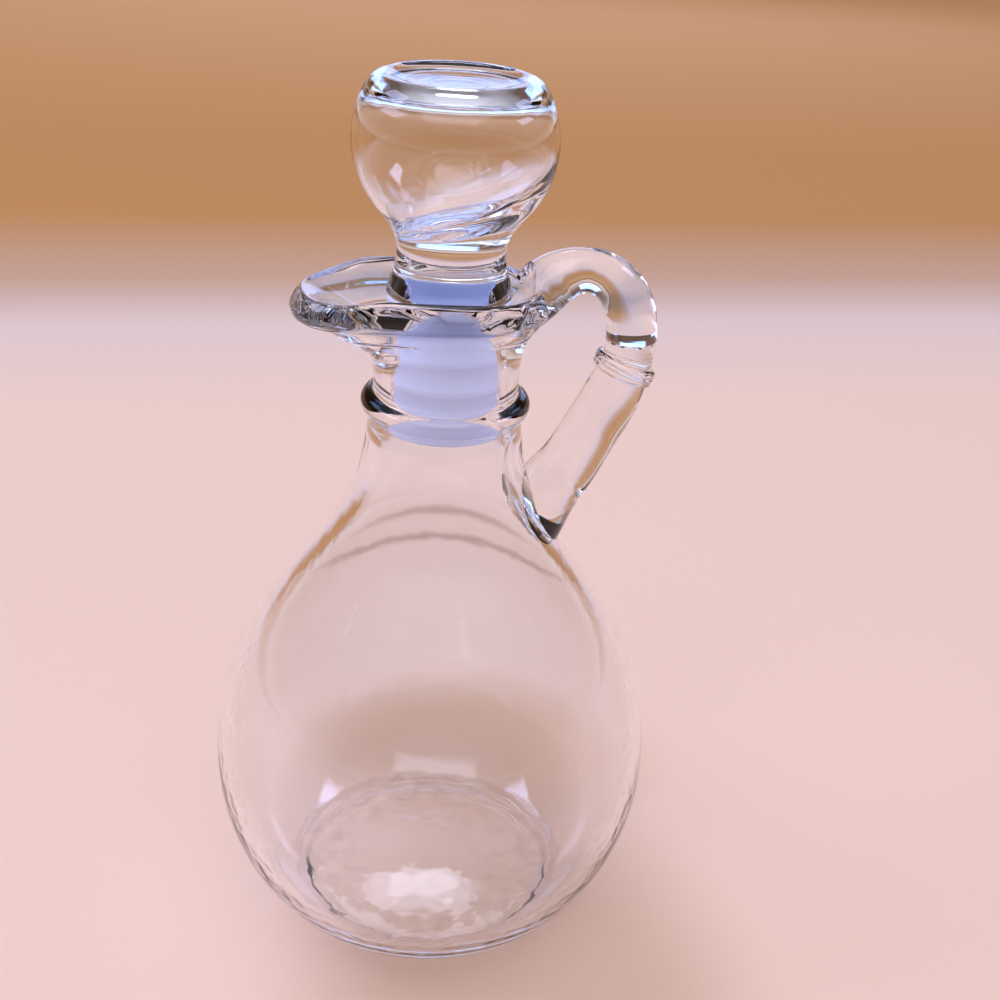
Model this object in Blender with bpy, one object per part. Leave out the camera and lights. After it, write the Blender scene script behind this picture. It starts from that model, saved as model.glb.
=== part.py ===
"""An oil and vinegar cruet of clear glass: a round-bellied jug with a collar, a poured lip and a rod handle,
closed by a ball-headed glass stopper whose peg wears a ribbed plastic sleeve.

Sizes are in millimetres and become metres where a vertex is made. +Z is up and is the jug's axis, its base
stands on z = 0, the handle is on +X and the pouring lip on -X. A profile is a list of (radius, height).
"""

from math import cos, pi, radians, sin

import bmesh
import bpy

MM = 0.001
SHARP_ANGLE = 35.0

# How finely round things are cut
JUG_SIDES = 40
TURNED_SIDES = 32
ROD_SIDES = 14
HEEL_STEPS = 6
SHOULDER_STEPS = 9
COLLAR_STEPS = 5
HOLLOW_ARC_STEPS = 5
HOLLOW_SHOULDER_STEPS = 7
HANDLE_STEPS = 2
HEAD_STEPS = 8
BEND_STEPS = 4

# Belly and shoulder: part of a ball, then one long curve up to the neck, steered by two handles
BELLY_RADIUS = 45.0
BELLY_HEIGHT = 36.5
BASE_RADIUS = 26.2
HEEL_ANGLE = 38.0
SHOULDER_HANDLES = ((45.0, 73.2), (17.6, 79.4))
NECK_FOOT = (15.0, 110.0)

# The hollow, whose floor is thick glass and whose bore holds the sleeve
BELLY_WALL = 2.4
HEEL_WALL = 3.8
FLOOR_ANGLE = 42.0
HOLLOW_SHOULDER_HANDLES = ((42.6, 72.2), (14.4, 78.0))
HOLLOW_NECK_FOOT = (11.6, 109.0)
BORE_RADIUS = 10.5
BORE_FOOT = 113.0
BORE_TOP = 126.0

# Collar, a bead laid round the foot of the neck, from the angle where it leaves the shoulder to its top
COLLAR_HEIGHT = 115.9
COLLAR_RADIUS = 14.1
COLLAR_BEAD = 2.1
COLLAR_FROM = -75.0
COLLAR_TO = 90.0
NECK_RADIUS = 13.9
NECK_WAIST_RADIUS = 13.8
NECK_WAIST_HEIGHT = 120.0
FLARE_FOOT = 122.0

# Lip: a long oval, squarer than an ellipse, that tilts and droops to the spout
RIM_HEIGHT = 139.8
RIM_TILT = 0.8
SPOUT_DROOP = 2.0
SPOUT_FROM = 0.7
LIP_TO_HANDLE = 16.8
LIP_TO_SPOUT = 27.4
LIP_HALF_WIDTH = 14.5
LIP_SQUARENESS = 2.5
LIP_WALL = 2.0

# The flare from the neck out to the lip: (share of the way up, how proud its thickened edge stands)
FLARE = (
    (0.20, 0.0),
    (0.36, 0.0),
    (0.50, 0.0),
    (0.61, 0.0),
    (0.72, 0.0),
    (0.77, 0.7),
    (0.94, 0.7),
    (1.00, 0.1),
)
FLARE_DONE = 0.83
FLARE_LAG = 1.7
MOUTH_SHARES = (0.36, 0.50, 0.64, 0.80, 0.96)
MOUTH_LAG = 1.2
AIR_ABOVE_RIM = 9.0
AIR_OUTWARD = 2.5

# Handle: (distance from the axis, height, half-thickness across, half-thickness sideways)
HANDLE_ROUTE = (
    (12.4, 132.4, 4.2, 6.6),
    (18.1, 138.3, 5.4, 6.0),
    (21.2, 140.4, 4.85, 5.1),
    (25.3, 141.3, 4.35, 4.5),
    (30.0, 140.2, 4.45, 4.45),
    (34.3, 136.0, 4.8, 4.8),
    (36.2, 129.0, 4.95, 4.95),
    (35.4, 121.5, 5.1, 5.1),
    (33.0, 115.0, 5.75, 5.75),
    (29.2, 107.8, 5.75, 5.75),
    (25.4, 101.0, 6.0, 6.0),
    (21.9, 96.4, 6.5, 6.9),
    (17.0, 87.6, 7.0, 7.6),
)

# The small ring of glass round the rod at one of those stations: (place along it, how much narrower)
HANDLE_BEAD_AT = 7
HANDLE_BEAD_RADIUS = 6.25
HANDLE_BEAD_HALF = 1.8
HANDLE_BEAD_SHAPE = (
    (-1.0, 1.3),
    (-0.7, 0.4),
    (0.0, 0.0),
    (0.7, 0.4),
    (1.0, 1.3),
)

# Plastic sleeve round the stopper's peg
SLEEVE_FOOT = 111.0
SLEEVE_TOP = 136.0
SLEEVE_RADIUS = 9.85
SLEEVE_BORE = 8.4
SLEEVE_LEAD_IN = 0.6
RIB_FOOT = 3.5
RIB_PROUD = 0.3
RIB_SPACING = 6.0
RIB_COUNT = 3
RIB_RISE = 0.5
RIB_FLAT = 0.6
FLANGE_RADIUS = 11.6
FLANGE_THICKNESS = 1.1
FLANGE_FLARE = 2.0

# Glass stopper: peg, stem that narrows to a waist, ball head with a shallow dish in its flat top
GAP = 0.3
PEG_RADIUS = 8.0
PEG_FOOT = 112.4
EDGE = 0.5
STEM_FOOT_RADIUS = 11.8
STEM_HANDLE = (11.0, 140.6)
WAIST_RADIUS = 10.05
WAIST_HEIGHT = 145.6
BELOW_WAIST = 142.8
ABOVE_WAIST = 149.2
NECKING_HANDLE = (12.2, 151.4)
HEAD_RADIUS = 18.5
HEAD_HEIGHT = 165.7
HEAD_FROM = -41.0
HEAD_TO = 29.0
CROWN_HANDLES = ((15.2, 176.4), (13.8, 177.0))
HEAD_TOP = 177.0
TOP_DISC_RADIUS = 12.4
TOP_DISH_RADIUS = 10.4
TOP_DISH = 0.8


def clear_scene():
    for obj in list(bpy.data.objects):
        bpy.data.objects.remove(obj, do_unlink=True)


def make_material(name, colour, roughness, alpha):
    material = bpy.data.materials.new(name)
    material.use_nodes = True
    shader = material.node_tree.nodes["Principled BSDF"]
    shader.inputs["Base Color"].default_value = (*colour, 1.0)
    shader.inputs["Roughness"].default_value = roughness
    shader.inputs["Metallic"].default_value = 0.0
    shader.inputs["Alpha"].default_value = alpha
    material.diffuse_color = (*colour, alpha)
    return material


def smoothstep(t):
    t = min(max(t, 0.0), 1.0)
    return t * t * (3 - 2 * t)


def bezier(start, first, second, end, steps):
    """Points of one cubic curve, its start left out."""
    points = []
    for i in range(1, steps + 1):
        t = i / steps
        weights = ((1 - t) ** 3, 3 * t * (1 - t) ** 2, 3 * t * t * (1 - t), t**3)
        corners = (start, first, second, end)
        points.append(tuple(sum(w * c[k] for w, c in zip(weights, corners)) for k in (0, 1)))
    return points


def arc(centre, radius, from_degrees, to_degrees, steps):
    """Points of an arc, its angles counted up from level."""
    points = []
    for i in range(steps + 1):
        angle = radians(from_degrees + (to_degrees - from_degrees) * i / steps)
        points.append((centre[0] + radius * cos(angle), centre[1] + radius * sin(angle)))
    return points


def turned_rings(profile, sides):
    angles = [2 * pi * i / sides for i in range(sides)]
    return [[(radius * cos(a), radius * sin(a), height) for a in angles] for radius, height in profile]


def skin(name, rings, ends=None):
    """A closed object through rings of points. Fans to two points end it, or it closes on its first ring."""
    bm = bmesh.new()
    loops = [[bm.verts.new([MM * c for c in point]) for point in ring] for ring in rings]
    if ends is None:
        loops.append(loops[0])
    sides = len(loops[0])
    for i in range(sides):
        j = (i + 1) % sides
        for low, high in zip(loops, loops[1:]):
            bm.faces.new((low[i], low[j], high[j], high[i]))
    if ends:
        first, last = (bm.verts.new([MM * c for c in point]) for point in ends)
        for i in range(sides):
            j = (i + 1) % sides
            bm.faces.new((first, loops[0][j], loops[0][i]))
            bm.faces.new((loops[-1][i], loops[-1][j], last))
    mesh = bpy.data.meshes.new(name)
    bm.to_mesh(mesh)
    bm.free()
    obj = bpy.data.objects.new(name, mesh)
    bpy.context.scene.collection.objects.link(obj)
    return obj


def finish(obj, material):
    obj.data.materials.clear()
    obj.data.materials.append(material)
    obj.data.shade_smooth()
    obj.data.set_sharp_from_angle(angle=radians(SHARP_ANGLE))


def add_boolean(obj, other, operation):
    """Joins or cuts obj with another object, which stays as a helper."""
    modifier = obj.modifiers.new(operation.title(), "BOOLEAN")
    modifier.operation = operation
    modifier.object = other
    other.hide_render = True
    other.display_type = "WIRE"


def lip_reach(angle, inset):
    """Distance from the axis to the lip's oval, which is long on the spout's side."""
    to_end = (LIP_TO_HANDLE if cos(angle) > 0 else LIP_TO_SPOUT) - inset
    along = abs(cos(angle) / to_end) ** LIP_SQUARENESS
    across = abs(sin(angle) / (LIP_HALF_WIDTH - inset)) ** LIP_SQUARENESS
    return (along + across) ** (-1 / LIP_SQUARENESS)


def rim_height(angle):
    droop = SPOUT_DROOP * smoothstep((-cos(angle) - SPOUT_FROM) / (1 - SPOUT_FROM))
    return RIM_HEIGHT - RIM_TILT * cos(angle) - droop


def lip_ring(share, radius, spread, inset=0.0, proud=0.0, lift=0.0):
    """A ring between the flare's foot and the rim, spread from this radius towards the lip's oval."""
    ring = []
    for i in range(JUG_SIDES):
        angle = 2 * pi * i / JUG_SIDES
        reach = radius + spread * (lip_reach(angle, inset) - radius) + proud
        height = FLARE_FOOT + share * (rim_height(angle) - FLARE_FOOT) + lift
        ring.append((reach * cos(angle), reach * sin(angle), height))
    return ring


def flare_rings():
    """The outside of the lip, which spreads slowly, then fast, to the spout, and ends in a thicker band."""
    rings = []
    for share, proud in FLARE:
        spread = smoothstep(share / FLARE_DONE) ** FLARE_LAG
        rings.append(lip_ring(share, NECK_RADIUS, spread, proud=proud))
    return rings


def mouth_rings():
    """The bore opening out to the lip, then the air above it, which leans out to clear the handle's root."""
    rings = []
    start = (BORE_TOP - FLARE_FOOT) / (RIM_HEIGHT - FLARE_FOOT)
    for share in MOUTH_SHARES:
        spread = smoothstep((share - start) / (MOUTH_SHARES[-1] - start)) ** MOUTH_LAG
        rings.append(lip_ring(share, BORE_RADIUS, spread, inset=LIP_WALL))
    rings.append(lip_ring(1.0, BORE_RADIUS, 1.0, inset=LIP_WALL - AIR_OUTWARD, lift=AIR_ABOVE_RIM))
    return rings


def jug_outside():
    profile = [(BASE_RADIUS, 0)] + arc((0, BELLY_HEIGHT), BELLY_RADIUS, HEEL_ANGLE - 90, 0, HEEL_STEPS)
    profile += bezier(profile[-1], *SHOULDER_HANDLES, NECK_FOOT, SHOULDER_STEPS)
    profile += arc((COLLAR_RADIUS, COLLAR_HEIGHT), COLLAR_BEAD, COLLAR_FROM, COLLAR_TO, COLLAR_STEPS)
    profile += [(NECK_WAIST_RADIUS, NECK_WAIST_HEIGHT), (NECK_RADIUS, FLARE_FOOT)]
    ends = ((0, 0, 0), (0, 0, RIM_HEIGHT))
    return skin("glass_cruet", turned_rings(profile, JUG_SIDES) + flare_rings(), ends)


def jug_hollow():
    """The inside, whose wall thins from the heel up to the belly."""
    profile = []
    for i in range(HOLLOW_ARC_STEPS + 1):
        share = i / HOLLOW_ARC_STEPS
        angle = radians(FLOOR_ANGLE + (90 - FLOOR_ANGLE) * share)
        radius = BELLY_RADIUS - HEEL_WALL + (HEEL_WALL - BELLY_WALL) * share
        profile.append((radius * sin(angle), BELLY_HEIGHT - radius * cos(angle)))
    ends = ((0, 0, profile[0][1]), (0, 0, RIM_HEIGHT + AIR_ABOVE_RIM))
    profile += bezier(profile[-1], *HOLLOW_SHOULDER_HANDLES, HOLLOW_NECK_FOOT, HOLLOW_SHOULDER_STEPS)
    profile += [(BORE_RADIUS, BORE_FOOT), (BORE_RADIUS, BORE_TOP)]
    return skin("jug_hollow", turned_rings(profile, JUG_SIDES) + mouth_rings(), ends)


def along_route(route, steps):
    """The route's stations, with more between each two, on a smooth curve through them all."""
    stations = []
    for i in range(len(route) - 1):
        near = (route[max(i - 1, 0)], route[i], route[i + 1], route[min(i + 2, len(route) - 1)])
        for step in range(steps):
            t = step / steps
            weights = (
                -t + 2 * t**2 - t**3,
                2 - 5 * t**2 + 3 * t**3,
                t + 4 * t**2 - 3 * t**3,
                -(t**2) + t**3,
            )
            stations.append([0.5 * sum(w * s[k] for w, s in zip(weights, near)) for k in range(4)])
    return stations + [list(route[-1])]


def heading(stations, i):
    """Unit direction of the handle's centre line in its upright plane."""
    before, after = stations[max(i - 1, 0)], stations[min(i + 1, len(stations) - 1)]
    dx, dz = after[0] - before[0], after[1] - before[1]
    length = (dx * dx + dz * dz) ** 0.5
    return dx / length, dz / length


def rod_ring(station, direction):
    """An oval across the centre line."""
    x, z, across, sideways = station
    dx, dz = direction
    ring = []
    for i in range(ROD_SIDES):
        angle = 2 * pi * i / ROD_SIDES
        out, side = across * cos(angle), sideways * sin(angle)
        ring.append((x + out * dz, side, z - out * dx))
    return ring


def handle_rod():
    stations = along_route(HANDLE_ROUTE, HANDLE_STEPS)
    rings = [rod_ring(station, heading(stations, i)) for i, station in enumerate(stations)]
    ends = [(station[0], 0, station[1]) for station in (stations[0], stations[-1])]
    return skin("handle_rod", rings, ends)


def handle_bead():
    stations = along_route(HANDLE_ROUTE, HANDLE_STEPS)
    at = HANDLE_BEAD_AT * HANDLE_STEPS
    dx, dz = heading(stations, at)
    x, z = stations[at][:2]
    places = [(x + s * HANDLE_BEAD_HALF * dx, z + s * HANDLE_BEAD_HALF * dz) for s, _ in HANDLE_BEAD_SHAPE]
    rings = []
    for place, (_, narrower) in zip(places, HANDLE_BEAD_SHAPE):
        radius = HANDLE_BEAD_RADIUS - narrower
        rings.append(rod_ring((*place, radius, radius), (dx, dz)))
    ends = [(place[0], 0, place[1]) for place in (places[0], places[-1])]
    return skin("handle_bead", rings, ends)


def make_jug(material):
    jug = jug_outside()
    add_boolean(jug, handle_rod(), "UNION")
    add_boolean(jug, handle_bead(), "UNION")
    add_boolean(jug, jug_hollow(), "DIFFERENCE")
    finish(jug, material)


def make_sleeve(material):
    """A thin tube, open below, with ribs that grip the neck and a flange in the mouth."""
    profile = [(SLEEVE_RADIUS - SLEEVE_LEAD_IN, SLEEVE_FOOT)]
    profile += [(SLEEVE_RADIUS, SLEEVE_FOOT + 2 * SLEEVE_LEAD_IN)]
    rib = SLEEVE_RADIUS + RIB_PROUD
    for i in range(RIB_COUNT):
        foot = SLEEVE_FOOT + RIB_FOOT + i * RIB_SPACING
        crest = foot + RIB_RISE
        profile += [(SLEEVE_RADIUS, foot), (rib, crest)]
        profile += [(rib, crest + RIB_FLAT), (SLEEVE_RADIUS, crest + RIB_FLAT + RIB_RISE)]
    top = SLEEVE_TOP + FLANGE_THICKNESS
    profile += [(SLEEVE_RADIUS, SLEEVE_TOP - FLANGE_FLARE), (FLANGE_RADIUS, SLEEVE_TOP), (FLANGE_RADIUS, top)]
    profile += [(SLEEVE_BORE, top), (SLEEVE_BORE, SLEEVE_FOOT)]
    finish(skin("stopper_sleeve", turned_rings(profile, TURNED_SIDES)), material)


def make_stopper(material):
    seat = SLEEVE_TOP + FLANGE_THICKNESS + GAP
    profile = [(PEG_RADIUS - EDGE, PEG_FOOT), (PEG_RADIUS, PEG_FOOT + EDGE), (PEG_RADIUS, seat)]
    profile += [(STEM_FOOT_RADIUS - EDGE, seat), (STEM_FOOT_RADIUS, seat + EDGE)]
    waist = (WAIST_RADIUS, WAIST_HEIGHT)
    profile += bezier(profile[-1], STEM_HANDLE, (WAIST_RADIUS, BELOW_WAIST), waist, BEND_STEPS)
    head = arc((0, HEAD_HEIGHT), HEAD_RADIUS, HEAD_FROM, HEAD_TO, HEAD_STEPS)
    profile += bezier(waist, (WAIST_RADIUS, ABOVE_WAIST), NECKING_HANDLE, head[0], BEND_STEPS)
    profile += head[1:]
    profile += bezier(head[-1], *CROWN_HANDLES, (TOP_DISC_RADIUS, HEAD_TOP), BEND_STEPS)
    profile += [(TOP_DISH_RADIUS, HEAD_TOP - 0.5 * TOP_DISH)]
    ends = ((0, 0, PEG_FOOT), (0, 0, HEAD_TOP - TOP_DISH))
    finish(skin("glass_stopper", turned_rings(profile, TURNED_SIDES), ends), material)


def main():
    clear_scene()
    glass = make_material("clear_glass", (0.93, 0.95, 0.97), 0.02, 0.35)
    plastic = make_material("frosted_plastic", (0.78, 0.77, 0.93), 0.4, 0.9)
    make_jug(glass)
    make_sleeve(plastic)
    make_stopper(glass)


main()
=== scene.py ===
"""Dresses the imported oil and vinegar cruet: a clear glass jug with its handle, a milky plastic sleeve and
a glass stopper with a blown head, on a pale floor under soft studio light.

Outlines are written in millimetres as (radius, height), and become metres where a corner is placed. Angles
are in degrees. The jug's axis is Z, its handle is on +X and its spout on -X.
"""

from math import atan2, cos, hypot, pi, radians, sin

import bpy
from mathutils import Matrix, Vector


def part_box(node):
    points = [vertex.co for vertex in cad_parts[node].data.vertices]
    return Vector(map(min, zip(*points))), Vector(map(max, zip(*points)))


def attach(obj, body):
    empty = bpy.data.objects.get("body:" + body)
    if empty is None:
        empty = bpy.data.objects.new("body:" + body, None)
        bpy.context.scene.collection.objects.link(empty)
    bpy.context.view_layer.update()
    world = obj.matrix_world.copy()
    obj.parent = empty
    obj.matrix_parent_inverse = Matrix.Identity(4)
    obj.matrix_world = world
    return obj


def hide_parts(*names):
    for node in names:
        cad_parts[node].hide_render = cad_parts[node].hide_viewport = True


bl_info = {
    "name": "Oil and Vinegar Cruet",
    "version": (1, 0, 0),
    "blender": (4, 5, 0),
    "location": "View3D > Sidebar > Cruet",
    "description": "Models the glass jug, sleeve and stopper of a table cruet and lights them",
    "category": "Object",
}

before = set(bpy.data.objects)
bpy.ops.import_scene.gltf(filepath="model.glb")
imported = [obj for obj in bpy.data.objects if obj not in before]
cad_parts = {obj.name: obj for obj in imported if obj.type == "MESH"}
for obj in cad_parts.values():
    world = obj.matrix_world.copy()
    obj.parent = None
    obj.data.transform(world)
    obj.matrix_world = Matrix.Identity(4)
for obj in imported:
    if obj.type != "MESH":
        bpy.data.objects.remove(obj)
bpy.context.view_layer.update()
JUG_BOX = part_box("glass_cruet")
SLEEVE_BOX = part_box("stopper_sleeve")
STOPPER_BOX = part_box("glass_stopper")

MM = 0.001
DOUBLES = 0.00001
SMOOTH_ANGLE = radians(50)

# Corners round each turned piece
JUG_SIDES = 160
HOLLOW_SIDES = 96
SLEEVE_SIDES = 96
STOPPER_SIDES = 128
BEAD_SIDES = 64

# Belly, shoulder and neck of the jug, outside
BASE_CONTACT_RADIUS = 24.8
BASE_PUSHED_UP = 0.9
BASE_HANDLES = ((10.0, BASE_PUSHED_UP), (19.0, 0.0))
HEEL_HANDLES = ((26.4, 0.0), (26.9, 0.4))
HEEL_FROM = -52.0
BELLY_HEIGHT = 36.5
SHOULDER_HANDLES = ((45.0, 73.2), (17.6, 79.4))
NECK_FOOT = (15.0, 110.0)
COLLAR_CENTRE = (14.1, 115.9)
COLLAR_BEAD = 2.1
COLLAR_FROM = -60.0
COLLAR_TO = 75.0
UNDER_COLLAR = ((14.75, 112.2), (14.35, 113.6))
ABOVE_COLLAR = ((14.0, 118.1), (13.8, 118.7))
NECK_WAIST = (13.8, 119.6)
FLARE_FOOT = 122.0

# Inside of the jug, whose wall thins from the heel up to the belly. WALL_FROM is counted from straight down
FLOOR_HEIGHT = 5.0
FLOOR_HANDLES = ((20.0, 4.45), (9.0, FLOOR_HEIGHT))
FLOOR_EDGE = (26.2, 4.2)
FLOOR_CORNER = ((28.0, 4.1), (28.4, 4.25))
WALL_FROM = 43.0
HEEL_WALL = 2.7
WALL_STEPS = 30
INNER_SHOULDER_HANDLES = ((42.6, 72.2), (14.4, 78.0))
INNER_NECK_FOOT = (11.6, 109.0)
BORE_HANDLES = ((11.0, 111.5), (10.5, 112.0))
BORE_FOOT = 114.0
BORE_TOP = 126.0

# Lip, drawn round first: the seam left by the mould, the thicker band and the rolled rim
SEAM_HEIGHT = 131.4
SEAM_HALF_HEIGHT = 0.25
SEAM_PROUD = 0.14
BAND_FOOT = 133.8
BAND_PROUD = 1.1
RIM_TILT = 0.8
SPOUT_DROOP = 2.0
SPOUT_FROM = 0.7
LIP_SQUARENESS = 2.5
LIP_WALL = 1.3
FLARE_DONE = 0.84
FLARE_LAG = 1.6
MOUTH_FROM = 0.56
MOUTH_FROM_AT_SPOUT = 0.3
MOUTH_LAG = 1.25

# Painted shade in the glass, in millimetres: heights and half-widths of the grey rings, and the heights
# between which the thick glass of the lip comes and goes, tinted and painted grey
PAINTED_RINGS = ((4.3, 0.9), (71.2, 2.8), (81.8, 2.6))
LIP_THICK = (133.6, 135.4, 137.6, 140.0)

# In metres: how unevenly the painted rings run, the height that their ramp covers, and the middle and
# half-height of the shoulder, where they keep to the side away from the camera and fade in between two
# distances from the axis
RING_UNEVEN = 0.0016
RING_REACH = 0.2
RING_SHOULDER = 0.09
RING_SHOULDER_HALF = 0.03
RING_FADE = (0.008, 0.026)

# Handle stations: (distance from the axis, height, half-thickness, how much wider sideways)
HANDLE_STATIONS = (
    (12.4, 132.4, 4.6, 1.5),
    (15.8, 136.4, 5.3, 1.3),
    (18.4, 138.6, 5.25, 1.12),
    (21.2, 140.4, 4.85, 1.05),
    (25.3, 141.3, 4.35, 1.02),
    (30.0, 140.2, 4.45, 1.0),
    (34.3, 136.0, 4.8, 1.0),
    (36.2, 129.0, 4.95, 1.0),
    (35.4, 121.5, 5.1, 1.0),
    (33.0, 115.0, 5.65, 1.0),
    (29.2, 107.8, 5.75, 1.0),
    (25.4, 101.0, 6.0, 1.0),
    (21.9, 96.4, 6.5, 1.06),
    (17.0, 87.6, 7.2, 1.1),
)
HANDLE_BEAD_AT = 8
HANDLE_BEAD_HEADING = 249.0
HANDLE_BEAD_LENGTH = 3.6
HANDLE_BEAD_RADIUS = 6.25
HANDLE_BEAD_GROOVE = 0.25

# What is cut from the handle's roots: the hollow, a little grown, and the room above the mouth
HOLLOW_GROWN = 0.25
ROOM_ABOVE_RIM = 9.0

# Sleeve, and the waves of its surface in metres: one each 3.3 mm, a tenth of a millimetre deep
SLEEVE_BORE = 8.4
RIB_PROUD = 0.12
RIB_LENGTH = 1.6
RIB_HANDLES = 1.33
FIRST_RIB = 3.5
FLANGE_THICKNESS = 1.1
SLEEVE_WAVES_TO_METRE = 300.0
SLEEVE_WAVE_DEPTH = 0.0001

# Stopper
PEG_RADIUS = 8.0
SEAT_HEIGHT = 137.4
STEM_FOOT_RADIUS = 11.8
STEM_HANDLES = ((11.2, 140.2), (10.05, 142.6))
WAIST = (10.05, 145.6)
NECKING_HANDLES = ((10.05, 149.0), (12.0, 151.2))
HEAD_FROM = -41.0
HEAD_TO = 29.0
CROWN_HANDLES = ((15.3, 176.3), (14.2, 177.0))
BUBBLE_CEILING = 10.4
BUBBLE_ROUND_OFF = 7
BUBBLE_GRAZING = 0.01
DISC_RADIUS = 12.9
DISH_HANDLES = ((11.4, 177.0), (10.8, 175.9))
DISH_FLOOR = (8.2, 175.7)
DISH_HEIGHT = 175.3
DISH_MIDDLE_HANDLES = ((5.0, DISH_HEIGHT), (2.0, DISH_HEIGHT))

# Studio, in metres. The floor turns from pale pink to tan along one heading, out of the light's reach: a
# falloff of the light painted into the paper's colour
FLOOR_RADIUS = 4.0
FLOOR_SIDES = 96
FLOOR_DROP = 0.0002
FLOOR_REACH = 1.5
FLOOR_HEADING = -3.2

# The cruet's shades painted on the floor, as (place, half-size): a cool one in front and a warm one behind.
# Each is full within a share of its size
SHADES = (((0.012, -0.042), (0.060, 0.080)), ((0.020, 0.046), (0.056, 0.046)))
SHADE_FULL = 0.4

# Soft boxes: name, place, size, glow, the finish that gives the colour, and shape
SOFT_BOXES = (
    ("window_left", (-1.48, 0.46, 1.34), (1.2, 0.7), 6.0, "window_colour", "RECTANGLE"),
    ("window_right", (1.62, -0.10, 1.15), (0.8, 0.5), 6.5, "window_colour", "RECTANGLE"),
    ("overhead", (-0.2, -0.60, 1.6), (1.9, 1.5), 2.2, "overhead_colour", "RECTANGLE"),
    ("behind", (0.24, 1.22, 1.36), (0.44, 0.3), 3.4, "overhead_colour", "ELLIPSE"),
    ("sky_far", (0.41, 1.44, 0.50), (1.4, 0.5), 2.8, "sky_colour", "RECTANGLE"),
    ("sky_left", (-0.95, 1.25, 1.15), (0.8, 0.5), 3.0, "sky_colour", "RECTANGLE"),
    ("sky_right", (1.45, 0.85, 1.15), (0.8, 0.5), 3.0, "sky_colour", "RECTANGLE"),
)
SOFT_BOX_AIM = (0.0, 0.0, 0.08)
SOFT_BOX_FADE = 0.14

# Light from all round: level, straight up, and at shares of the height between them
WORLD_LEVEL = "D8C8C4"
WORLD_TOP = "F0F2FF"
WORLD_BETWEEN = ((0.08, "B08C72"), (0.25, "6E4C34"), (0.5, "54443C"), (0.75, "BCBCCC"))

# Light that goes on after ten mirrorings would fill the dark ends of the collar and lip
BOUNCES = 24
GLOSSY_BOUNCES = 10

CAMERA_PLACE = (-0.05335, -0.2510, 0.2243)
CAMERA_HEADING = -15.96
CAMERA_PITCH = 63.87
CAMERA_ROLL = 4.07
CAMERA_LENS = 52.2
CAMERA_SHIFT = (-0.032, -0.013)
CAMERA_NEAR = 0.01


def linear(colour):
    """An sRGB hex colour as the linear values that shaders want."""
    channels = [int(colour[i : i + 2], 16) / 255 for i in (0, 2, 4)]
    return tuple(c / 12.92 if c <= 0.04045 else ((c + 0.055) / 1.055) ** 2.4 for c in channels)


def smoothstep(t):
    """Eases from 0 to 1 as t does, and stays there."""
    t = min(max(t, 0.0), 1.0)
    return t * t * (3 - 2 * t)


def bezier(start, first, second, end, steps):
    """Points of one cubic curve, its start left out."""
    points = []
    for i in range(1, steps + 1):
        t = i / steps
        weights = ((1 - t) ** 3, 3 * t * (1 - t) ** 2, 3 * t * t * (1 - t), t**3)
        corners = (start, first, second, end)
        points.append(tuple(sum(w * c[k] for w, c in zip(weights, corners)) for k in (0, 1)))
    return points


def arc(centre, radius, start, end, steps):
    """Points of an arc, its angles in degrees counted up from level."""
    points = []
    for i in range(steps + 1):
        angle = radians(start + (end - start) * i / steps)
        points.append((centre[0] + radius * cos(angle), centre[1] + radius * sin(angle)))
    return points


def line(start, end, steps):
    """Points of a straight stretch, its start left out."""
    return bezier(start, start, end, end, steps)


def turn(name, profile, sides):
    """Draws a profile corner by corner in edit mode and spins it round Z."""
    bpy.ops.object.select_all(action="DESELECT")
    bpy.ops.mesh.primitive_plane_add(size=MM, location=(0, 0, 0))
    piece = bpy.context.object
    piece.name = piece.data.name = name
    bpy.ops.object.mode_set(mode="EDIT")
    bpy.ops.mesh.merge(type="CENTER")
    bpy.ops.transform.translate(value=(profile[0][0] * MM, 0, profile[0][1] * MM))
    for before, after in zip(profile, profile[1:]):
        step = ((after[0] - before[0]) * MM, 0, (after[1] - before[1]) * MM)
        bpy.ops.mesh.extrude_region_move(TRANSFORM_OT_translate={"value": step})
    bpy.ops.mesh.select_all(action="SELECT")
    bpy.ops.mesh.spin(steps=sides, angle=2 * pi, center=(0, 0, 0), axis=(0, 0, 1))
    bpy.ops.mesh.select_all(action="SELECT")
    bpy.ops.mesh.remove_doubles(threshold=DOUBLES)
    bpy.ops.mesh.normals_make_consistent(inside=False)
    bpy.ops.object.mode_set(mode="OBJECT")
    return piece


def reshape(piece, place):
    """Moves each corner to where place puts it, in millimetres: for bends that no operator gives."""
    for vertex in piece.data.vertices:
        vertex.co = Vector(place(*(vertex.co / MM))) * MM
    piece.data.update()


def combine(piece, other, operation):
    """Joins other to piece, or cuts it away, and removes other."""
    bpy.ops.object.select_all(action="DESELECT")
    bpy.context.view_layer.objects.active = piece
    modifier = piece.modifiers.new(operation.title(), "BOOLEAN")
    modifier.operation = operation
    modifier.object = other
    bpy.ops.object.modifier_apply(modifier=modifier.name)
    bpy.data.objects.remove(other, do_unlink=True)


def finish_piece(piece, material, node):
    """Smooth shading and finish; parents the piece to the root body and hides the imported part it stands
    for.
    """
    bpy.ops.object.select_all(action="DESELECT")
    bpy.context.view_layer.objects.active = piece
    piece.select_set(True)
    bpy.ops.object.shade_smooth_by_angle(angle=SMOOTH_ANGLE)
    piece.data.materials.clear()
    piece.data.materials.append(material)
    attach(piece, "root")
    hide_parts(node)


def add_node(tree, kind, values=None, links=None, **settings):
    """Adds a node, with its settings, the values of its sockets and the sockets that feed them."""
    node = tree.nodes.new(kind)
    for field, value in settings.items():
        setattr(node, field, value)
    for socket, value in (values or {}).items():
        node.inputs[socket].default_value = value
    for socket, source in (links or {}).items():
        tree.links.new(source, node.inputs[socket])
    return node


def new_material(name):
    material = bpy.data.materials.new(name)
    material.use_nodes = True
    tree = material.node_tree
    return material, tree, tree.nodes["Principled BSDF"], tree.nodes["Material Output"]


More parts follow.
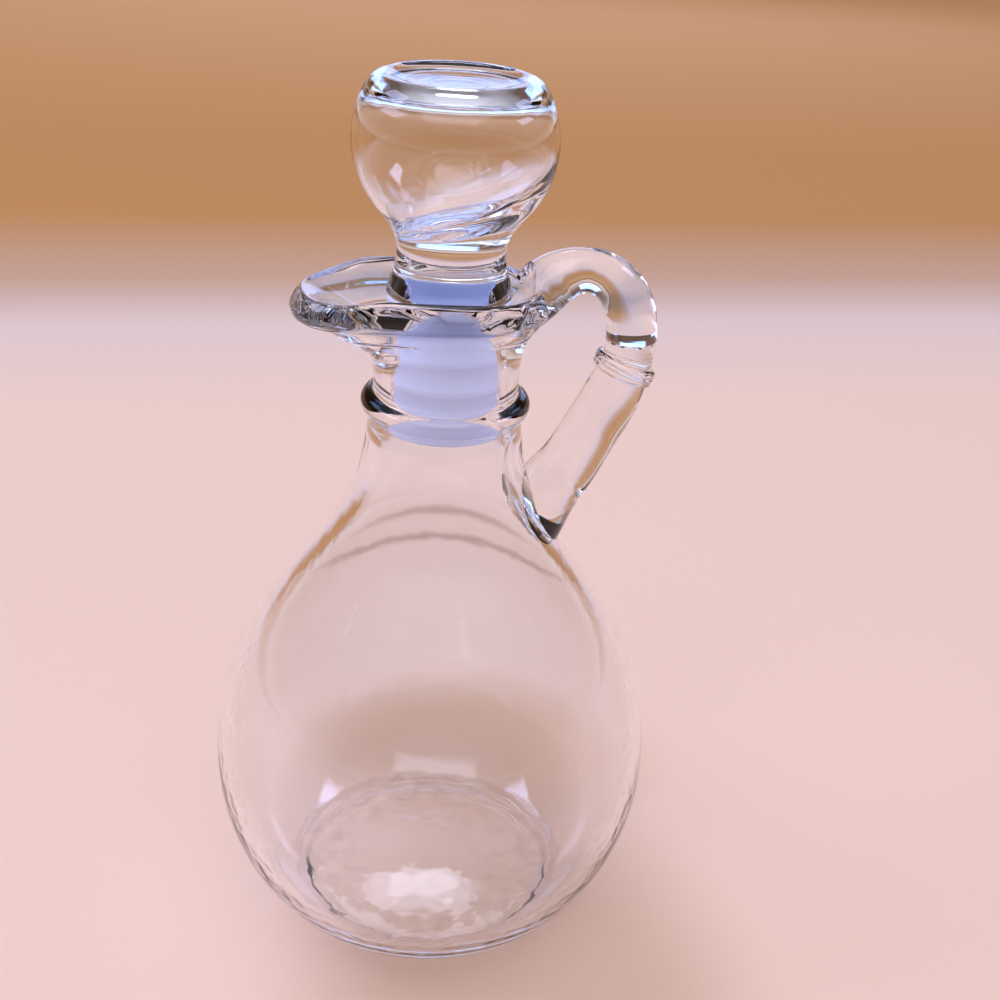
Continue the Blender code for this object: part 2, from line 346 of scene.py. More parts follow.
def painted_glass_shade(tree, place, waves, finish):
    """Painted shade in the glass's colour: faint grey rings, one low at the floor's edge and two round the
    shoulder, where they keep to the side away from the camera, and the grey of the thick lip, partly its tint
    and partly painted shade."""
    height = add_node(tree, "ShaderNodeSeparateXYZ", {}, {"Vector": place}).outputs["Z"]
    uneven = add_node(
        tree, "ShaderNodeMath", {1: RING_UNEVEN}, {0: waves, 2: height}, operation="MULTIPLY_ADD"
    ).outputs["Value"]
    share = add_node(tree, "ShaderNodeMath", {1: RING_REACH}, {0: uneven}, operation="DIVIDE").outputs["Value"]
    ramp = add_node(tree, "ShaderNodeValToRGB", {}, {"Fac": share})
    ramp.color_ramp.interpolation = "EASE"
    stops = ramp.color_ramp.elements
    stops[0].color = stops[1].color = (*finish.glass_tint, 1)
    for at, half in PAINTED_RINGS:
        for edge, colour in ((-half, finish.glass_tint), (0, finish.ring_shade_tint), (half, finish.glass_tint)):
            stops.new((at + edge) * MM / RING_REACH).color = (*colour, 1)
    lip_tints = (finish.glass_tint, finish.lip_tint_and_shade, finish.lip_tint_and_shade, finish.glass_tint)
    for at, colour in zip(LIP_THICK, lip_tints):
        stops.new(at * MM / RING_REACH).color = (*colour, 1)
    # The painted rings on the shoulder keep to the side away from the camera
    ahead = (-sin(radians(CAMERA_HEADING)), cos(radians(CAMERA_HEADING)), 0)
    side = add_node(
        tree, "ShaderNodeVectorMath", {1: ahead}, {0: place}, operation="DOT_PRODUCT"
    ).outputs["Value"]
    far = add_node(
        tree,
        "ShaderNodeMapRange",
        {"From Min": RING_FADE[0], "From Max": RING_FADE[1]},
        {"Value": side},
        interpolation_type="SMOOTHSTEP",
    )
    shoulder = add_node(
        tree, "ShaderNodeMath", {1: RING_SHOULDER, 2: RING_SHOULDER_HALF}, {0: height}, operation="COMPARE"
    ).outputs["Value"]
    all_round = add_node(
        tree, "ShaderNodeMath", {0: 1.0}, {1: shoulder}, operation="SUBTRACT"
    ).outputs["Value"]
    seen = add_node(
        tree, "ShaderNodeMath", {}, {0: far.outputs["Result"], 1: all_round}, operation="MAXIMUM"
    )
    marks = add_node(
        tree,
        "ShaderNodeMix",
        {"A": (*finish.glass_tint, 1)},
        {"Factor": seen.outputs["Value"], "B": ramp.outputs["Color"]},
        data_type="RGBA",
    )
    return marks.outputs["Result"]


def fire_polished_glass(name, finish):
    """Soda-lime glass, pressed or blown and then fire-polished: clear, mirror-smooth, with the slow waves of
    glass that set while it ran, which make its highlights shimmer like orange peel. Light for the floor
    passes straight through, so that the paper under it isn't black."""
    material, tree, shader, output = new_material(name)
    shader.inputs["Base Color"].default_value = (*finish.glass_tint, 1)
    shader.inputs["Roughness"].default_value = 0.0
    shader.inputs["IOR"].default_value = 1.52
    shader.inputs["Transmission Weight"].default_value = 1.0
    place = add_node(tree, "ShaderNodeTexCoord").outputs["Object"]
    waves = add_node(
        tree, "ShaderNodeTexNoise", {"Scale": 1 / finish.wave_length, "Detail": 1.0}, {"Vector": place}
    )
    # The base colour carries painted shade: grey rings and the grey of the thick lip
    tree.links.new(painted_glass_shade(tree, place, waves.outputs["Fac"], finish), shader.inputs["Base Color"])
    bump = add_node(
        tree,
        "ShaderNodeBump",
        {"Strength": 1.0, "Distance": finish.wave_depth},
        {"Height": waves.outputs["Fac"]},
    )
    tree.links.new(bump.outputs["Normal"], shader.inputs["Normal"])
    clear = add_node(tree, "ShaderNodeBsdfTransparent", {"Color": (*finish.shadow_tint, 1)})
    path = add_node(tree, "ShaderNodeLightPath")
    mix = add_node(
        tree,
        "ShaderNodeMixShader",
        links={0: path.outputs["Is Shadow Ray"], 1: shader.outputs["BSDF"], 2: clear.outputs["BSDF"]},
    )
    tree.links.new(mix.outputs["Shader"], output.inputs["Surface"])
    return material


def milky_polythene(name, finish):
    """Low-density polythene, moulded thin: milky, waxy and half see-through, so that it glows with the light
    behind it, and a faint painted blue glow brightens it. The shallow waves that the mould left soften its
    highlights."""
    material, tree, shader, _ = new_material(name)
    shader.inputs["Base Color"].default_value = (*finish.sleeve_colour, 1)
    shader.inputs["Roughness"].default_value = 0.45
    shader.inputs["IOR"].default_value = 1.5
    shader.inputs["Subsurface Weight"].default_value = 0.6
    shader.inputs["Subsurface Radius"].default_value = (1.0, 1.0, 1.2)
    shader.inputs["Subsurface Scale"].default_value = 0.002
    # Painted light: a faint blue emission that brightens the sleeve, though it is no lamp
    shader.inputs["Emission Color"].default_value = (*finish.painted_sleeve_glow, 1)
    shader.inputs["Emission Strength"].default_value = 0.1
    place = add_node(tree, "ShaderNodeTexCoord").outputs["Object"]
    waves = add_node(
        tree, "ShaderNodeTexNoise", {"Scale": SLEEVE_WAVES_TO_METRE, "Detail": 2.0}, {"Vector": place}
    )
    bump = add_node(
        tree,
        "ShaderNodeBump",
        {"Strength": 0.3, "Distance": SLEEVE_WAVE_DEPTH},
        {"Height": waves.outputs["Fac"]},
    )
    tree.links.new(bump.outputs["Normal"], shader.inputs["Normal"])
    return material


def seamless_paper(name, finish):
    """Matt studio paper without gloss: pale round the cruet and tan where it is far away, a painted falloff
    of the light, with the cruet's shades painted on it.
    """
    material, tree, shader, _ = new_material(name)
    shader.inputs["Roughness"].default_value = 0.9
    shader.inputs["Specular IOR Level"].default_value = 0.1
    place = add_node(tree, "ShaderNodeTexCoord").outputs["Object"]
    ahead = (-sin(radians(FLOOR_HEADING)), cos(radians(FLOOR_HEADING)), 0)
    reach = add_node(
        tree, "ShaderNodeVectorMath", {1: ahead}, {0: place}, operation="DOT_PRODUCT"
    ).outputs["Value"]
    share = add_node(
        tree, "ShaderNodeMath", {1: FLOOR_REACH}, {0: reach}, operation="DIVIDE"
    ).outputs["Value"]
    # Painted falloff: the paper turns tan and darker along the heading, out of the lamps' reach
    ramp = add_node(tree, "ShaderNodeValToRGB", {}, {"Fac": share})
    stops = ramp.color_ramp.elements
    for at, colour in finish.floor_stops():
        stop = stops[0] if at == 0 else stops.new(at / FLOOR_REACH)
        stop.color = (*colour, 1)
    stops.remove(stops[-1])
    paper = ramp.outputs["Color"]
    # Painted shadows: each shade darkens the paper round the cruet
    for (spot, size), colour in zip(SHADES, (finish.shade_colour, finish.warm_shade_colour)):
        under = add_node(
            tree,
            "ShaderNodeMapping",
            {"Location": (*spot, 0), "Rotation": (0, 0, radians(CAMERA_HEADING)), "Scale": (*size, 1)},
            {"Vector": place},
            vector_type="TEXTURE",
        )
        away = add_node(tree, "ShaderNodeVectorMath", {}, {0: under.outputs["Vector"]}, operation="LENGTH")
        shade = add_node(
            tree,
            "ShaderNodeMapRange",
            {"From Min": 1.0, "From Max": SHADE_FULL},
            {"Value": away.outputs["Value"]},
            interpolation_type="SMOOTHSTEP",
        )
        paper = add_node(
            tree,
            "ShaderNodeMix",
            {"B": (*colour, 1)},
            {"Factor": shade.outputs["Result"], "A": paper},
            data_type="RGBA",
            blend_type="MULTIPLY",
        ).outputs["Result"]
    tree.links.new(paper, shader.inputs["Base Color"])
    return material


class CruetJugSizes(bpy.types.PropertyGroup):
    belly_radius: bpy.props.FloatProperty(
        name="Belly radius", description="Widest radius of the belly", default=JUG_BOX[1].x, unit="LENGTH"
    )
    belly_wall: bpy.props.FloatProperty(
        name="Belly wall", description="Thickness of the glass at the belly", default=0.0024, unit="LENGTH"
    )
    neck_radius: bpy.props.FloatProperty(
        name="Neck radius", description="Outer radius above the collar", default=0.0139, unit="LENGTH"
    )
    bore_radius: bpy.props.FloatProperty(
        name="Bore radius", description="Inner radius of the neck", default=0.0105, unit="LENGTH"
    )
    rim_height: bpy.props.FloatProperty(
        name="Rim height", description="Height of the rim at its sides", default=0.1398, unit="LENGTH"
    )
    lip_to_spout: bpy.props.FloatProperty(
        name="Lip to spout", description="From the axis to the spout's tip", default=0.0274, unit="LENGTH"
    )
    lip_to_handle: bpy.props.FloatProperty(
        name="Lip to handle", description="From the axis to the lip's back", default=0.0168, unit="LENGTH"
    )
    lip_half_width: bpy.props.FloatProperty(
        name="Lip half-width", description="Half the width of the lip", default=0.0145, unit="LENGTH"
    )


class CruetSleeveSizes(bpy.types.PropertyGroup):
    radius: bpy.props.FloatProperty(
        name="Radius", description="Outer radius between the ribs", default=0.00985, unit="LENGTH"
    )
    rib_count: bpy.props.IntProperty(name="Ribs", description="How many ribs grip the neck", default=3)
    rib_spacing: bpy.props.FloatProperty(
        name="Rib spacing", description="From one rib to the next", default=0.006, unit="LENGTH"
    )


class CruetStopperSizes(bpy.types.PropertyGroup):
    head_radius: bpy.props.FloatProperty(
        name="Head radius", description="Outer radius of the ball head", default=0.0185, unit="LENGTH"
    )
    head_height: bpy.props.FloatProperty(
        name="Head height", description="Height of the ball's centre", default=0.1657, unit="LENGTH"
    )
    bubble_wall: bpy.props.FloatProperty(
        name="Bubble wall", description="Glass left at the side of the bubble", default=0.001, unit="LENGTH"
    )
    bubble_floor: bpy.props.FloatProperty(
        name="Bubble floor", description="From the ball's centre down to the bubble's floor", default=0.0143,
        unit="LENGTH",
    )
    bubble_tilt: bpy.props.FloatProperty(
        name="Bubble tilt", description="How far the bubble's floor slants", default=radians(22),
        unit="ROTATION",
    )


class CruetFinish(bpy.types.PropertyGroup):
    glass_tint: bpy.props.FloatVectorProperty(
        name="Glass tint", description="Colour that the glass gives light", default=linear("FCFDFF"),
        subtype="COLOR",
    )
    shadow_tint: bpy.props.FloatVectorProperty(
        name="Shadow tint", description="Light that one face lets on to the floor", default=linear("F8F6F4"),
        subtype="COLOR",
    )
    # Painted shade: the grey of the rings in the glass
    ring_shade_tint: bpy.props.FloatVectorProperty(
        name="Lap marks", description="Colour of the smoky rings left in the glass", default=linear("CFC8C8"),
        subtype="COLOR",
    )
    # Partly the tint of thick glass and partly painted shade: the grey of the lip
    lip_tint_and_shade: bpy.props.FloatVectorProperty(
        name="Lip", description="Colour that the thick glass of the lip gives light",
        default=linear("BECADC"), subtype="COLOR",
    )
    wave_length: bpy.props.FloatProperty(
        name="Wave length", description="Size of the waves in the glass", default=0.004, unit="LENGTH"
    )
    wave_depth: bpy.props.FloatProperty(
        name="Wave depth", description="Depth of the waves in the glass", default=0.00004, unit="LENGTH"
    )
    sleeve_colour: bpy.props.FloatVectorProperty(
        name="Sleeve", description="Colour of the milky plastic", default=linear("DCE4FF"), subtype="COLOR"
    )
    # Painted light: the blue glow of the sleeve
    painted_sleeve_glow: bpy.props.FloatVectorProperty(
        name="Sleeve's glow", description="Blue that the plastic's brightener gives back in daylight",
        default=linear("8C92FF"), subtype="COLOR",
    )
    floor_colour: bpy.props.FloatVectorProperty(
        name="Floor", description="Colour of the paper round the cruet", default=linear("F3CFB6"),
        subtype="COLOR",
    )
    # Painted falloff of the light: the paper's edge, turn, far and horizon colours
    edge_colour: bpy.props.FloatVectorProperty(
        name="Floor's edge", description="Colour where the paper leaves the light", default=linear("E7CBBB"),
        subtype="COLOR",
    )
    turn_colour: bpy.props.FloatVectorProperty(
        name="Floor's turn", description="Colour where the paper turns tan", default=linear("CEA587"),
        subtype="COLOR",
    )
    far_colour: bpy.props.FloatVectorProperty(
        name="Far floor", description="Colour of the paper far behind", default=linear("C68C52"),
        subtype="COLOR",
    )
    horizon_colour: bpy.props.FloatVectorProperty(
        name="Horizon", description="Colour of the paper at its far end", default=linear("DCA068"),
        subtype="COLOR",
    )
    # Painted shadows of the cruet on the paper
    shade_colour: bpy.props.FloatVectorProperty(
        name="Shade", description="What the cruet's shade takes from the paper", default=linear("E2DCD2"),
        subtype="COLOR",
    )
    warm_shade_colour: bpy.props.FloatVectorProperty(
        name="Warm shade", description="What the shade behind the belly takes from the paper",
        default=linear("ECE2D4"), subtype="COLOR",
    )
    window_colour: bpy.props.FloatVectorProperty(
        name="Windows", description="Colour of the side lamps", default=linear("C9CFFF"), subtype="COLOR"
    )
    sky_colour: bpy.props.FloatVectorProperty(
        name="Sky", description="Colour of the low lamps behind", default=linear("86B0F0"), subtype="COLOR"
    )
    overhead_colour: bpy.props.FloatVectorProperty(
        name="Overhead", description="Colour of the lamps above", default=linear("E6EBFF"), subtype="COLOR"
    )

    def floor_stops(self):
        """Distances in metres from the axis, and the colours of the paper there."""
        return (
            (0, self.floor_colour),
            (0.27, self.floor_colour),
            (0.36, self.edge_colour),
            (0.42, self.turn_colour),
            (0.53, self.far_colour),
            (0.70, self.far_colour),
            (1.30, self.horizon_colour),
        )


def jug_outside(sizes):
    belly = sizes.belly_radius / MM
    neck = sizes.neck_radius / MM
    heel = arc((0, BELLY_HEIGHT), belly, HEEL_FROM, 0, 40)
    profile = [(0, BASE_PUSHED_UP)]
    profile += bezier(profile[-1], *BASE_HANDLES, (BASE_CONTACT_RADIUS, 0), 12)
    profile += bezier(profile[-1], *HEEL_HANDLES, heel[0], 6)
    profile += heel[1:]
    profile += bezier(profile[-1], *SHOULDER_HANDLES, NECK_FOOT, 48)
    collar = arc(COLLAR_CENTRE, COLLAR_BEAD, COLLAR_FROM, COLLAR_TO, 14)
    profile += bezier(profile[-1], *UNDER_COLLAR, collar[0], 8)
    profile += collar[1:]
    profile += bezier(profile[-1], *ABOVE_COLLAR, NECK_WAIST, 6)
    profile += line(profile[-1], (neck, FLARE_FOOT), 2)
    return profile


def lip_outline(sizes):
    """The lip's section as if it were round, up the outside, over the rim and down to the bore."""
    neck, bore, rim = (v / MM for v in (sizes.neck_radius, sizes.bore_radius, sizes.rim_height))
    band, foot = neck + BAND_PROUD, BAND_FOOT
    outline = line((neck, FLARE_FOOT), (neck, SEAM_HEIGHT - SEAM_HALF_HEIGHT), 16)
    outline += [(neck + SEAM_PROUD, SEAM_HEIGHT), (neck, SEAM_HEIGHT + SEAM_HALF_HEIGHT)]
    outline += line(outline[-1], (neck, foot), 4)
    outline += bezier(outline[-1], (neck, foot + 0.6), (band, foot + 0.5), (band, foot + 1.5), 6)
    outline += line(outline[-1], (band, rim - 2.0), 5)
    outline += bezier(outline[-1], (band, rim - 0.6), (band - 1.0, rim), (band - 2.2, rim), 6)
    outline += bezier(outline[-1], (bore + 0.8, rim), (bore, rim - 0.6), (bore, rim - 1.8), 6)
    outline += line(outline[-1], (bore, BORE_TOP), 18)
    return outline


def jug_inside(sizes, grown=0.0):
    """The hollow's section from the bore down to the middle of its floor, grown by so many millimetres."""
    bore = sizes.bore_radius / MM + grown
    belly, wall = sizes.belly_radius / MM, sizes.belly_wall / MM - grown
    profile = line((bore, BORE_TOP), (bore, BORE_FOOT), 3)
    profile += bezier(profile[-1], *((r + grown, z) for r, z in (*BORE_HANDLES, INNER_NECK_FOOT)), 6)
    second, first = ((r + grown, z) for r, z in INNER_SHOULDER_HANDLES)
    profile += bezier(profile[-1], first, second, (belly - wall, BELLY_HEIGHT), 48)
    for i in range(1, WALL_STEPS + 1):
        share = i / WALL_STEPS
        angle = radians(90 - (90 - WALL_FROM) * share)
        radius = belly - wall - (HEEL_WALL - sizes.belly_wall / MM) * share
        profile.append((radius * sin(angle), BELLY_HEIGHT - radius * cos(angle)))
    profile += bezier(profile[-1], *reversed(FLOOR_CORNER), FLOOR_EDGE, 8)
    profile += bezier(profile[-1], *FLOOR_HANDLES, (0, FLOOR_HEIGHT), 8)
    return profile


def lip_reach(sizes, angle, inset):
    """Distance from the axis to the lip's oval, which is long on the spout's side."""
    to_end = (sizes.lip_to_handle if cos(angle) > 0 else sizes.lip_to_spout) / MM - inset
    along = abs(cos(angle) / to_end) ** LIP_SQUARENESS
    across = abs(sin(angle) / (sizes.lip_half_width / MM - inset)) ** LIP_SQUARENESS
    return (along + across) ** (-1 / LIP_SQUARENESS)


def lip_place(sizes):
    """Where a corner of the round lip goes, so that the mouth spreads to an oval and droops at the spout."""
    neck, bore, rim = (v / MM for v in (sizes.neck_radius, sizes.bore_radius, sizes.rim_height))

    def place(x, y, z):
        if z <= FLARE_FOOT:
            return x, y, z
        angle = atan2(y, x)
        share = (z - FLARE_FOOT) / (rim - FLARE_FOOT)
        outer = neck + smoothstep(share / FLARE_DONE) ** FLARE_LAG * (lip_reach(sizes, angle, 0) - neck)
        spout = smoothstep(-cos(angle))
        start = MOUTH_FROM + spout * (MOUTH_FROM_AT_SPOUT - MOUTH_FROM)
        opened = min(max((share - start) / (1 - start), 0), 1) ** MOUTH_LAG
        inner = bore + opened * (lip_reach(sizes, angle, LIP_WALL) - bore)
        reach = inner + (hypot(x, y) - bore) / (neck - bore) * (outer - inner)
        droop = SPOUT_DROOP * smoothstep((-cos(angle) - SPOUT_FROM) / (1 - SPOUT_FROM))
        top = rim - RIM_TILT * cos(angle) - droop
        return reach * cos(angle), reach * sin(angle), FLARE_FOOT + share * (top - FLARE_FOOT)

    return place


def draw_handle():
    """The rod as a curve with a round section, made a mesh, and widened sideways towards its roots."""
    bpy.ops.object.select_all(action="DESELECT")
    bpy.ops.curve.primitive_bezier_curve_add(location=(0, 0, 0))
    rod = bpy.context.object
    spline = rod.data.splines[0]
    spline.bezier_points.add(len(HANDLE_STATIONS) - len(spline.bezier_points))
    for point, (out, height, half, _) in zip(spline.bezier_points, HANDLE_STATIONS):
        point.co = (out * MM, 0, height * MM)
        point.handle_left_type = point.handle_right_type = "AUTO"
        point.radius = half
    spline.radius_interpolation = "CARDINAL"
    spline.resolution_u = 16
    rod.data.dimensions = "3D"
    rod.data.twist_mode = "Z_UP"
    rod.data.bevel_depth = MM
    rod.data.bevel_resolution = 12
    rod.data.use_fill_caps = True
    bpy.ops.object.convert(target="MESH")
    rod = bpy.context.object

    def widen(x, y, z):
        """Sideways by what the stations say, of which the nearest pull most."""
        pulls = []
        for out, height, _, wide in HANDLE_STATIONS:
            pulls.append((1 / (1 + (out - x) ** 2 + (height - z) ** 2) ** 2, wide))
        return x, y * sum(pull * wide for pull, wide in pulls) / sum(pull for pull, _ in pulls), z

    reshape(rod, widen)
    return rod


def draw_handle_bead():
    """The little ring on the rod: a rounded disc with two fine grooves, turned upright and leant over."""
    half = HANDLE_BEAD_LENGTH / 2
    edge = HANDLE_BEAD_RADIUS
    groove = edge - HANDLE_BEAD_GROOVE
    profile = [(0, -half), (edge - 1.9, -half)]
    profile += bezier(profile[-1], (edge - 0.5, -half), (edge, -half + 0.5), (edge, -half + 1.1), 6)
    profile += bezier(profile[-1], (groove, -0.5), (groove, -0.4), (edge, -0.1), 4)
    profile += bezier(profile[-1], (groove, 0.3), (groove, 0.5), (edge - 0.1, half - 1.0), 4)
    profile += bezier(profile[-1], (edge, half - 0.4), (edge - 0.5, half), (edge - 1.9, half), 6)
    profile += [(0, half)]
    bead = turn("handle_bead", profile, BEAD_SIDES)
    out, height = HANDLE_STATIONS[HANDLE_BEAD_AT][:2]
    lean = Matrix.Rotation(radians(90 - HANDLE_BEAD_HEADING), 3, "Y")
    reshape(bead, lambda x, y, z: lean @ Vector((x, y, z)) + Vector((out, 0, height)))
    return bead


class CRUET_OT_make_jug(bpy.types.Operator):
    """Turns the glass jug, pulls its lip to a spout and lays the handle on"""

    bl_idname = "cruet.make_jug"
    bl_label = "Glass jug"

    def execute(self, context):
        sizes = context.scene.cruet_jug
        jug = turn("jug", jug_outside(sizes) + lip_outline(sizes) + jug_inside(sizes), JUG_SIDES)
        reshape(jug, lip_place(sizes))
        rod = draw_handle()
        combine(rod, draw_handle_bead(), "UNION")
        inside = jug_inside(sizes, grown=HOLLOW_GROWN)
        top = sizes.rim_height / MM + ROOM_ABOVE_RIM
        bore = inside[0][0]
        above = [(0, top), (bore, top)] + line((bore, top), (bore, BORE_TOP), 24)
        room = turn("room", above + inside, HOLLOW_SIDES)
        reshape(room, lip_place(sizes))
        combine(rod, room, "DIFFERENCE")
        combine(jug, rod, "UNION")
        glass = fire_polished_glass("pressed soda-lime glass", context.scene.cruet_finish)
        finish_piece(jug, glass, "glass_cruet")
        return {"FINISHED"}


class CRUET_OT_make_sleeve(bpy.types.Operator):
    """Turns the thin plastic sleeve with its ribs and flange"""

    bl_idname = "cruet.make_sleeve"
    bl_label = "Plastic sleeve"

    def execute(self, context):
        sizes = context.scene.cruet_sleeve
        radius = sizes.radius / MM
        foot, top = SLEEVE_BOX[0].z / MM, SLEEVE_BOX[1].z / MM
        flange = SLEEVE_BOX[1].x / MM
        profile = [(SLEEVE_BORE, foot), (radius - 0.6, foot)]
        profile += bezier(profile[-1], (radius - 0.2, foot), (radius, foot + 0.4), (radius, foot + 1.2), 4)
        for i in range(sizes.rib_count):
            rib = foot + FIRST_RIB + i * sizes.rib_spacing / MM
            swell = radius + RIB_HANDLES * RIB_PROUD
            end = rib + RIB_LENGTH
            profile.append((radius, rib))
            profile += bezier(profile[-1], (swell, rib), (swell, end), (radius, end), 6)
        under = top - FLANGE_THICKNESS
        profile.append((radius, under - 2.0))
        profile += bezier(profile[-1], (radius, under - 0.6), (flange - 1.2, under - 0.3), (flange, under), 6)
        profile += bezier(profile[-1], (flange, top - 0.2), (flange - 0.2, top), (flange - 0.6, top), 4)
        profile += [(SLEEVE_BORE, top)] + line((SLEEVE_BORE, top), (SLEEVE_BORE, foot), 4)
        sleeve = turn("sleeve", profile, SLEEVE_SIDES)
        plastic = milky_polythene("moulded polythene", context.scene.cruet_finish)
        finish_piece(sleeve, plastic, "stopper_sleeve")
        return {"FINISHED"}


def stopper_outline(sizes):
    """The stopper's section, up from the middle of the peg's foot to the middle of the dish."""
    head, centre = sizes.head_radius / MM, (0, sizes.head_height / MM)
    foot, top = STOPPER_BOX[0].z / MM, STOPPER_BOX[1].z / MM
    peg, seat, edge = PEG_RADIUS, SEAT_HEIGHT, STEM_FOOT_RADIUS
    profile = [(0, foot), (peg - 0.6, foot)]
    profile += bezier(profile[-1], (peg - 0.2, foot), (peg, foot + 0.2), (peg, foot + 0.6), 4)
    profile += line(profile[-1], (peg, seat - 0.4), 6)
    profile += bezier(profile[-1], (peg, seat), (peg + 0.4, seat), (peg + 0.8, seat), 3)
    profile += line(profile[-1], (edge - 0.7, seat), 3)
    profile += bezier(profile[-1], (edge - 0.1, seat), (edge, seat + 0.2), (edge, seat + 0.6), 5)
    profile += bezier(profile[-1], *STEM_HANDLES, WAIST, 14)
    ball = arc(centre, head, HEAD_FROM, HEAD_TO, 36)
    profile += bezier(profile[-1], *NECKING_HANDLES, ball[0], 14)
    profile += ball[1:]
    profile += bezier(profile[-1], *CROWN_HANDLES, (DISC_RADIUS, top), 14)
    profile += bezier(profile[-1], *DISH_HANDLES, DISH_FLOOR, 10)
    profile += bezier(profile[-1], *DISH_MIDDLE_HANDLES, (0, DISH_HEIGHT), 8)
    return profile


def draw_bubble(sizes, outline):
    """The blown hollow of the head: it follows the outside at an even wall, under a flat ceiling and over a
    floor that slants, both of which round off into the wall."""
    centre = sizes.head_height / MM
    wall, floor = sizes.bubble_wall / MM, sizes.bubble_floor / MM
    away = Vector((cos(radians(CAMERA_HEADING)), sin(radians(CAMERA_HEADING)), 0))
    down = away * sin(sizes.bubble_tilt) - Vector((0, 0, cos(sizes.bubble_tilt)))
    bpy.ops.object.select_all(action="DESELECT")
    bpy.ops.mesh.primitive_uv_sphere_add(segments=96, ring_count=64, radius=MM, location=(0, 0, 0))
    bubble = bpy.context.object
    head = [(r, z - centre) for r, z in outline if z > WAIST[1]]
    power = -BUBBLE_ROUND_OFF

    def place(x, y, z):
        out = Vector((x, y, z)).normalized()
        slope = atan2(out.z, hypot(out.x, out.y))
        radius, height = min(head, key=lambda p: abs(atan2(p[1], p[0]) - slope))
        skin = hypot(radius, height) - wall
        for reach, facing in ((floor, out.dot(down)), (BUBBLE_CEILING, out.z)):
            if facing > BUBBLE_GRAZING:
                skin = (skin**power + (reach / facing) ** power) ** (1 / power)
        return out.x * skin, out.y * skin, centre + out.z * skin

    reshape(bubble, place)
    return bubble


class CRUET_OT_make_stopper(bpy.types.Operator):
    """Turns the glass stopper and hollows its head"""

    bl_idname = "cruet.make_stopper"
    bl_label = "Glass stopper"

    def execute(self, context):
        sizes = context.scene.cruet_stopper
        outline = stopper_outline(sizes)
        stopper = turn("stopper", outline, STOPPER_SIDES)
        combine(stopper, draw_bubble(sizes, outline), "DIFFERENCE")
        glass = fire_polished_glass("blown soda-lime glass", context.scene.cruet_finish)
        finish_piece(stopper, glass, "glass_stopper")
        return {"FINISHED"}


def add_soft_box(name, place, size, glow, colour, shape):
    """A wide lamp behind cloth, which glows less towards its edges: seen in the glass and not by the camera.
    Parametric runs from 0 to 1 across it both ways, so 0.5 is its middle."""
    lamp = bpy.data.lights.new(name, "AREA")
    lamp.shape = shape
    lamp.size, lamp.size_y = size
    lamp.energy = pi * size[0] * size[1]
    lamp.color = colour
    lamp.use_nodes = True
    tree = lamp.node_tree
    across = add_node(tree, "ShaderNodeNewGeometry").outputs["Parametric"]
    offset = add_node(tree, "ShaderNodeVectorMath", {1: (0.5, 0.5, 0)}, {0: across}, operation="SUBTRACT")
    spread = add_node(tree, "ShaderNodeVectorMath", {}, {0: offset.outputs["Vector"]}, operation="ABSOLUTE")
    sides = add_node(tree, "ShaderNodeSeparateXYZ", {}, {"Vector": spread.outputs["Vector"]}).outputs
    edge = add_node(tree, "ShaderNodeMath", {}, {0: sides["X"], 1: sides["Y"]}, operation="MAXIMUM")
    fade = add_node(
        tree,
        "ShaderNodeMapRange",
        {"From Min": 0.5, "From Max": 0.5 - SOFT_BOX_FADE, "To Max": glow},
        {"Value": edge.outputs["Value"]},
        interpolation_type="SMOOTHSTEP",
    )
    tree.links.new(fade.outputs["Result"], tree.nodes["Emission"].inputs["Strength"])
    box = bpy.data.objects.new(name, lamp)
    box.location = place
    box.rotation_euler = (Vector(SOFT_BOX_AIM) - Vector(place)).to_track_quat("-Z", "Y").to_euler()
    box.visible_camera = False
    bpy.context.scene.collection.objects.link(box)


def light_world():
    """Soft light from all round: pale near the horizon and overhead, brown between them."""
    world = bpy.data.worlds.new("studio")
    world.use_nodes = True
    tree = world.node_tree
    direction = add_node(tree, "ShaderNodeTexCoord").outputs["Generated"]
    height = add_node(tree, "ShaderNodeSeparateXYZ", {}, {"Vector": direction}).outputs["Z"]
    ramp = add_node(tree, "ShaderNodeValToRGB", {}, {"Fac": height})
    stops = ramp.color_ramp.elements
    stops[0].color = (*linear(WORLD_LEVEL), 1)
    stops[1].color = (*linear(WORLD_TOP), 1)
    for at, colour in WORLD_BETWEEN:
        stops.new(at).color = (*linear(colour), 1)
    tree.links.new(ramp.outputs["Color"], tree.nodes["Background"].inputs["Color"])
    bpy.context.scene.world = world


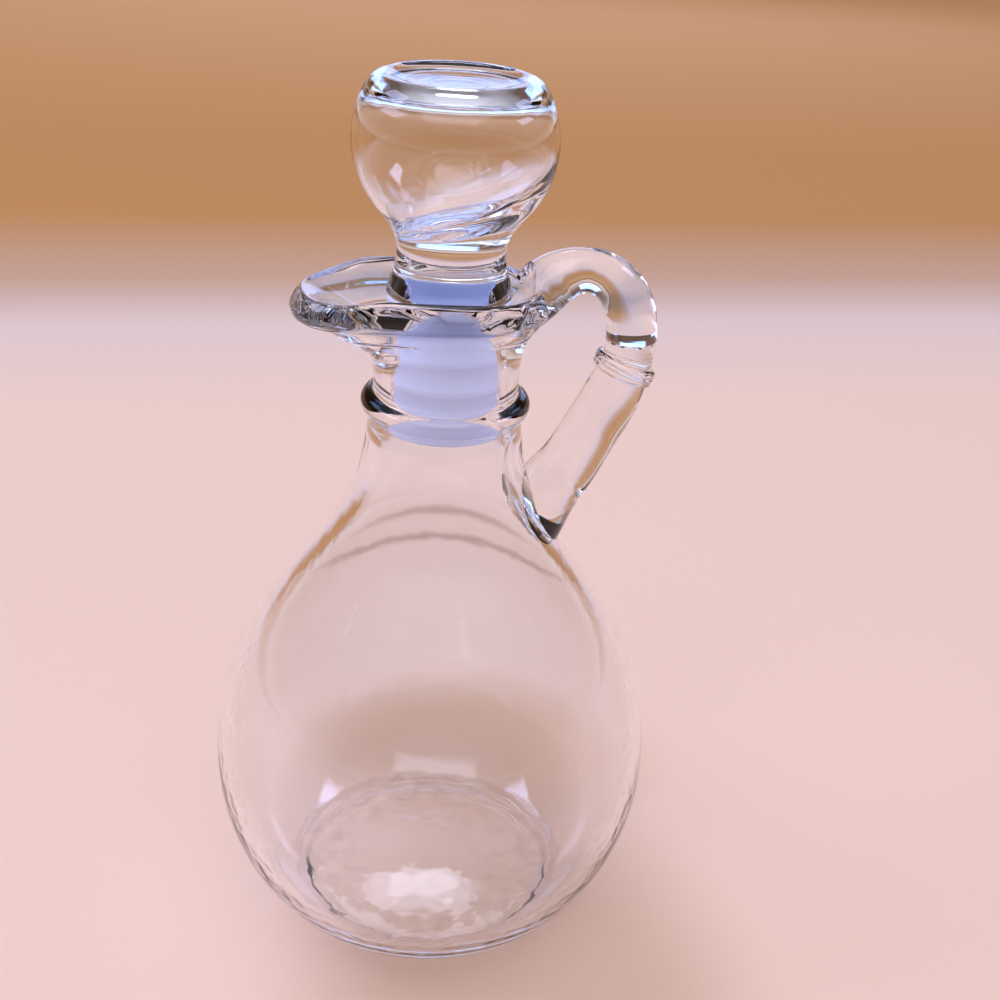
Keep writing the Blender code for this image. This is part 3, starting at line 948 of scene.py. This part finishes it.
class CRUET_OT_set_stage(bpy.types.Operator):
    """Lays the floor, hangs the lamps and sets the camera"""

    bl_idname = "cruet.set_stage"
    bl_label = "Stage"

    def execute(self, context):
        finish = context.scene.cruet_finish
        bpy.ops.object.select_all(action="DESELECT")
        bpy.ops.mesh.primitive_circle_add(
            vertices=FLOOR_SIDES, radius=FLOOR_RADIUS, fill_type="NGON", location=(0, 0, 0)
        )
        floor = context.object
        floor.name = "floor"
        reshape(floor, lambda x, y, z: (x, y, z - FLOOR_DROP / MM))
        floor.data.materials.append(seamless_paper("seamless paper", finish))
        light_world()
        for name, place, size, glow, colour, shape in SOFT_BOXES:
            add_soft_box(name, place, size, glow, getattr(finish, colour), shape)
        camera = bpy.data.objects.new("camera", bpy.data.cameras.new("camera"))
        heading, pitch, roll = (
            Matrix.Rotation(radians(angle), 4, axis)
            for angle, axis in ((CAMERA_HEADING, "Z"), (CAMERA_PITCH, "X"), (CAMERA_ROLL, "Z"))
        )
        camera.matrix_world = Matrix.Translation(CAMERA_PLACE) @ (heading @ pitch) @ roll
        camera.data.lens = CAMERA_LENS
        camera.data.shift_x, camera.data.shift_y = CAMERA_SHIFT
        camera.data.clip_start = CAMERA_NEAR
        context.scene.collection.objects.link(camera)
        context.scene.camera = camera
        context.scene.view_settings.view_transform = "Standard"
        context.scene.cycles.max_bounces = BOUNCES
        context.scene.cycles.transmission_bounces = BOUNCES
        context.scene.cycles.glossy_bounces = GLOSSY_BOUNCES
        context.scene.cycles.transparent_max_bounces = BOUNCES
        return {"FINISHED"}


class VIEW3D_PT_cruet(bpy.types.Panel):
    """Sizes, finishes and the steps that make the cruet"""

    bl_label = "Cruet"
    bl_space_type = "VIEW_3D"
    bl_region_type = "UI"
    bl_category = "Cruet"

    def draw(self, context):
        for group in (name for name, _ in GROUPS):
            settings = getattr(context.scene, group)
            box = self.layout.box()
            for name in settings.__annotations__:
                box.prop(settings, name)
        for step in STEPS:
            self.layout.operator(step.bl_idname)


GROUPS = (
    ("cruet_jug", CruetJugSizes),
    ("cruet_sleeve", CruetSleeveSizes),
    ("cruet_stopper", CruetStopperSizes),
    ("cruet_finish", CruetFinish),
)
STEPS = (CRUET_OT_make_jug, CRUET_OT_make_sleeve, CRUET_OT_make_stopper, CRUET_OT_set_stage)


def register():
    for name, group in GROUPS:
        bpy.utils.register_class(group)
        setattr(bpy.types.Scene, name, bpy.props.PointerProperty(type=group))
    for part in (*STEPS, VIEW3D_PT_cruet):
        bpy.utils.register_class(part)


def unregister():
    for part in (VIEW3D_PT_cruet, *reversed(STEPS)):
        bpy.utils.unregister_class(part)
    for name, group in reversed(GROUPS):
        delattr(bpy.types.Scene, name)
        bpy.utils.unregister_class(group)


def main():
    register()
    bpy.ops.cruet.make_jug()
    bpy.ops.cruet.make_sleeve()
    bpy.ops.cruet.make_stopper()
    bpy.ops.cruet.set_stage()


if __name__ == "__main__":
    main()
